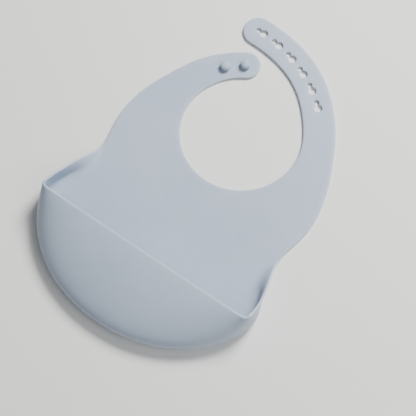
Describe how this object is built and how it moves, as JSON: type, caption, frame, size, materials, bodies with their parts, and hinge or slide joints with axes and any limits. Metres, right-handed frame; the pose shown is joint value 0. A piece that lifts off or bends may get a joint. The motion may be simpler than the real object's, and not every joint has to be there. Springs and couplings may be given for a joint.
{
  "type": "silicone bib",
  "caption": "Soft moulded baby bib with a round neck hole, a scoop-shaped catch pocket, a strap with mushroom studs and a longer strap with keyholes.",
  "frame": {"origin": "back face of the chest panel, on the centre line, 100 mm below the centre of the neck hole", "axes": "+Y from the pocket up to the neck straps, +Z out of the back face towards the pocket side, +X across the bib to the side of the keyhole strap"},
  "size_m": [0.2044, 0.3022, 0.0299],
  "materials": {
    "silicone": "satin blue-grey moulded silicone, 2 mm thick"
  },
  "bodies": {
    "chest": {"chest_panel": "silicone", "left_side_wall": "silicone", "right_side_wall": "silicone", "pocket_base": "silicone"},
    "yoke": {"yoke": "silicone"},
    "stud_strap_root": {"stud_strap_root": "silicone"},
    "stud_strap_end": {"stud_strap_end": "silicone", "inner_stud": "silicone", "outer_stud": "silicone"},
    "hole_strap_root": {"hole_strap_root": "silicone"},
    "hole_strap_middle": {"hole_strap_middle": "silicone"},
    "hole_strap_end": {"hole_strap_end": "silicone"},
    "pocket_front": {"pocket_front": "silicone"}
  },
  "joints": [
    {"name": "yoke_fold", "type": "hinge", "parent": "chest", "child": "yoke", "pos_m": [0, 0.038, 0.001], "axis": [1, 0, 0], "range_deg": [-60, 60], "stiffness_Nm_per_rad": 0.005},
    {"name": "stud_strap_root_bend", "type": "hinge", "parent": "yoke", "child": "stud_strap_root", "pos_m": [-0.06635, 0.10932, 0.001], "axis": [0.9903, -0.1392, 0], "range_deg": [-45, 45], "stiffness_Nm_per_rad": 0.0011},
    {"name": "stud_strap_end_bend", "type": "hinge", "parent": "stud_strap_root", "child": "stud_strap_end", "pos_m": [-0.05755, 0.12562, 0.001], "axis": [0.9135, -0.4067, 0], "range_deg": [-45, 45], "stiffness_Nm_per_rad": 0.0011},
    {"name": "hole_strap_root_bend", "type": "hinge", "parent": "yoke", "child": "hole_strap_root", "pos_m": [0.06635, 0.10932, 0.001], "axis": [0.9903, 0.1392, 0], "range_deg": [-45, 45], "stiffness_Nm_per_rad": 0.0011},
    {"name": "hole_strap_middle_bend", "type": "hinge", "parent": "hole_strap_root", "child": "hole_strap_middle", "pos_m": [0.04464, 0.15081, 0.001], "axis": [0.7254, 0.6883, 0], "range_deg": [-45, 45], "stiffness_Nm_per_rad": 0.0011},
    {"name": "hole_strap_end_bend", "type": "hinge", "parent": "hole_strap_middle", "child": "hole_strap_end", "pos_m": [0.00281, 0.1793, 0.001], "axis": [0.3748, 0.9271, 0], "range_deg": [-45, 45], "stiffness_Nm_per_rad": 0.0011},
    {"name": "pocket_front_opening", "type": "hinge", "parent": "chest", "child": "pocket_front", "pos_m": [0, -0.1009, 0.009], "axis": [1, 0, 0], "range_deg": [0, 15], "stiffness_Nm_per_rad": 0.15}
  ]
}
